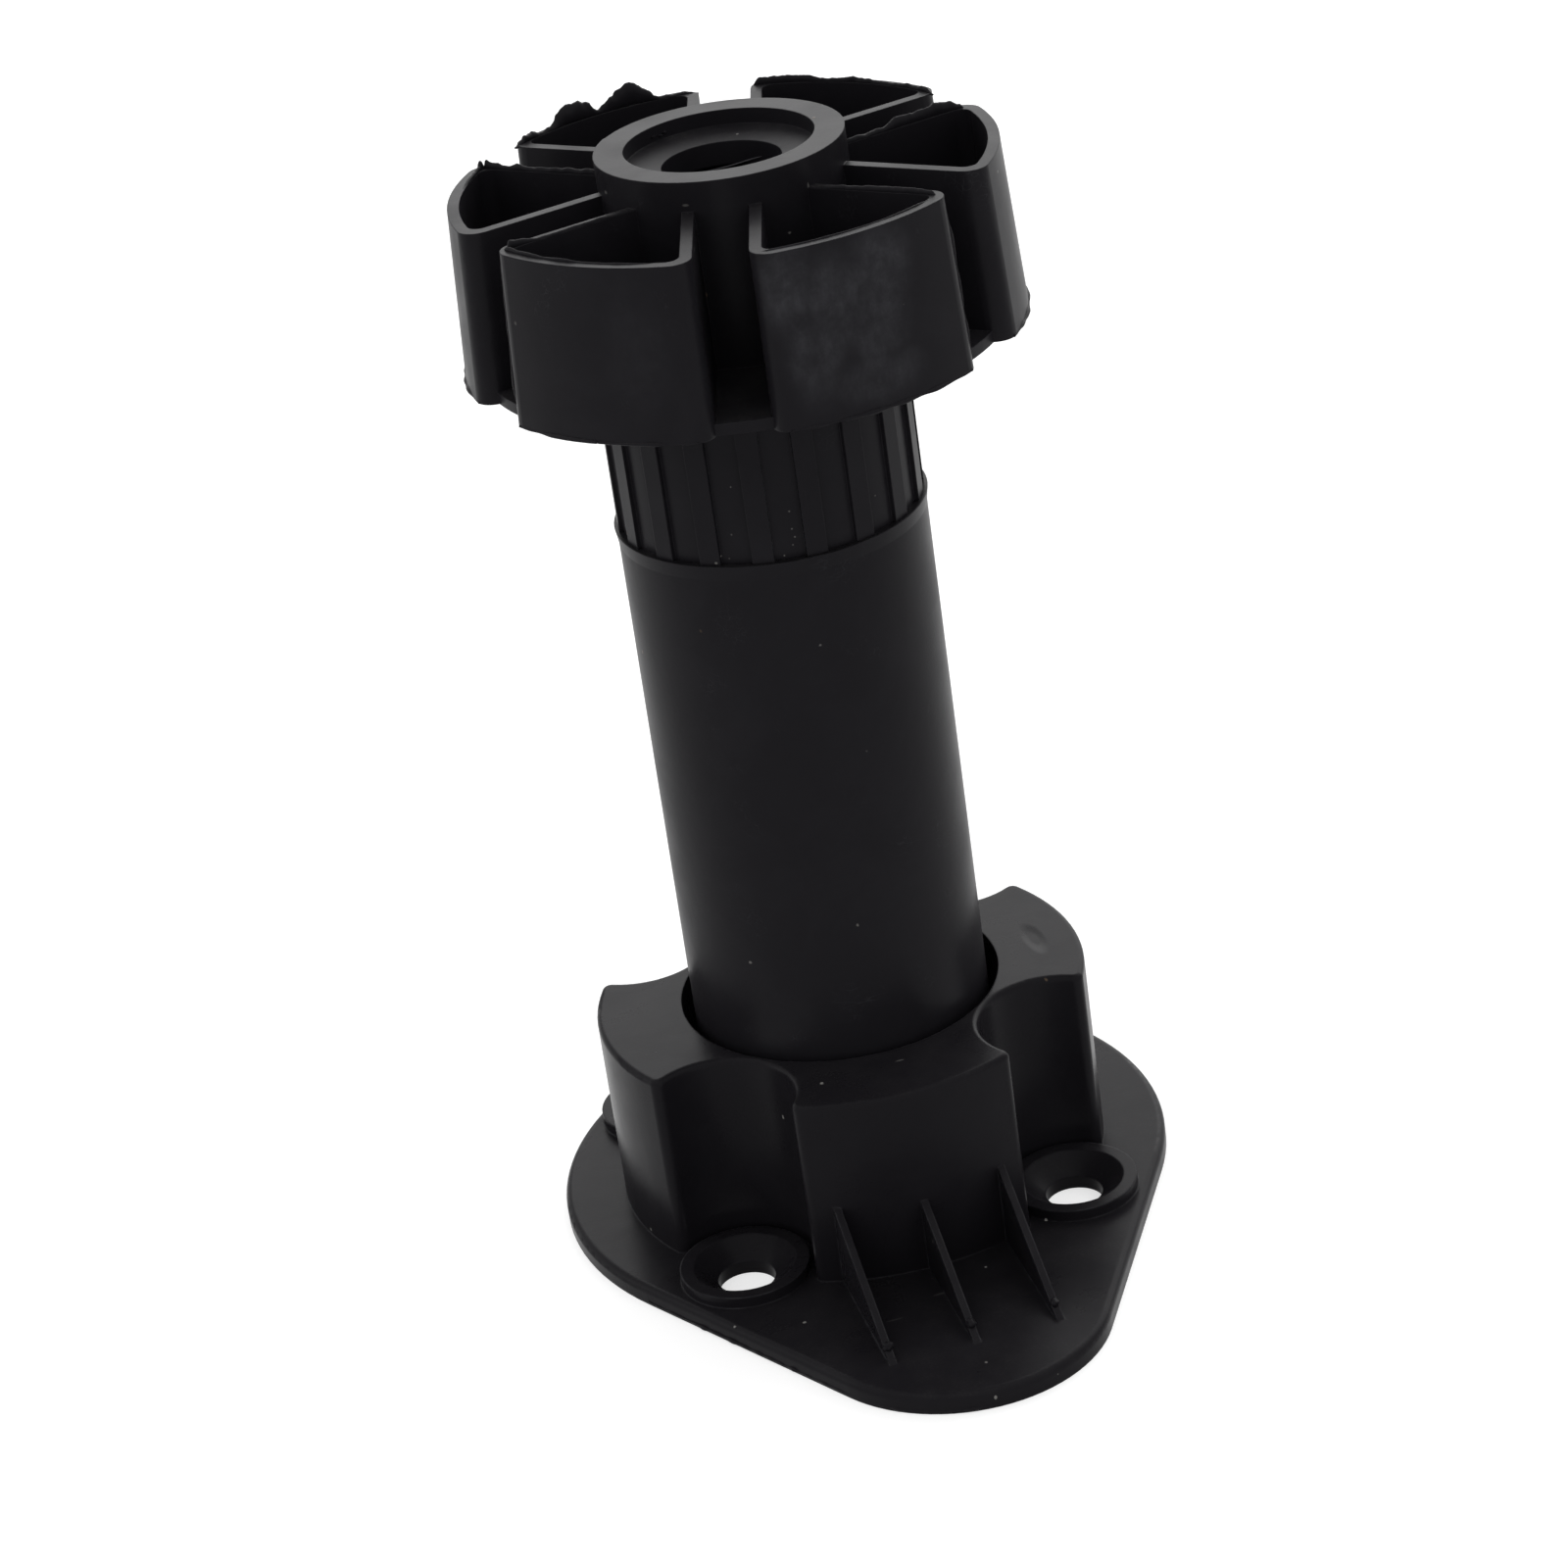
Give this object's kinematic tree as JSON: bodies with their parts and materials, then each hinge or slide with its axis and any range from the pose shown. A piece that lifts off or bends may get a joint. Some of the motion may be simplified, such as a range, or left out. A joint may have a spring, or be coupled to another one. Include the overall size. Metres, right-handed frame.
{
  "type": "adjustable cabinet leg",
  "caption": "Black plastic screw-on cabinet leg: drop-shaped flange with notched socket, plain tube, ribbed threaded plug and a screw foot with hollow petals round its hub.",
  "frame": {"origin": "on the leg's axis at the flange's mounting face", "axes": "+Z along the leg's axis from the mounting face to the foot; -Y towards the flange's drawn-out tip"},
  "size_m": [0.0666, 0.0843, 0.119],
  "materials": {
    "moulded_plastic": "black moulded polypropylene, satin",
    "tube_plastic": "black extruded plastic tube, smooth satin",
    "plug_plastic": "black moulded plastic, satin, slightly dusty",
    "foot_plastic": "black moulded plastic, satin, scuffed"
  },
  "bodies": {
    "flange": {"flange_socket": "moulded_plastic"},
    "leg": {"leg_tube": "tube_plastic", "threaded_plug": "plug_plastic"},
    "foot": {"adjusting_foot": "foot_plastic"}
  },
  "joints": [
    {"name": "leg_turn", "type": "hinge", "parent": "flange", "child": "leg", "pos_m": [0, 0, 0], "axis": [0, 0, -1], "range_deg": [0, 2160]},
    {"name": "foot_travel", "type": "slide", "parent": "flange", "child": "foot", "axis": [0, 0, 1], "range_m": [0, 0.03]}
  ],
  "couplings": [
    {"joint": "foot_travel", "follows": "leg_turn", "m_per_rad": 0.00079577}
  ]
}
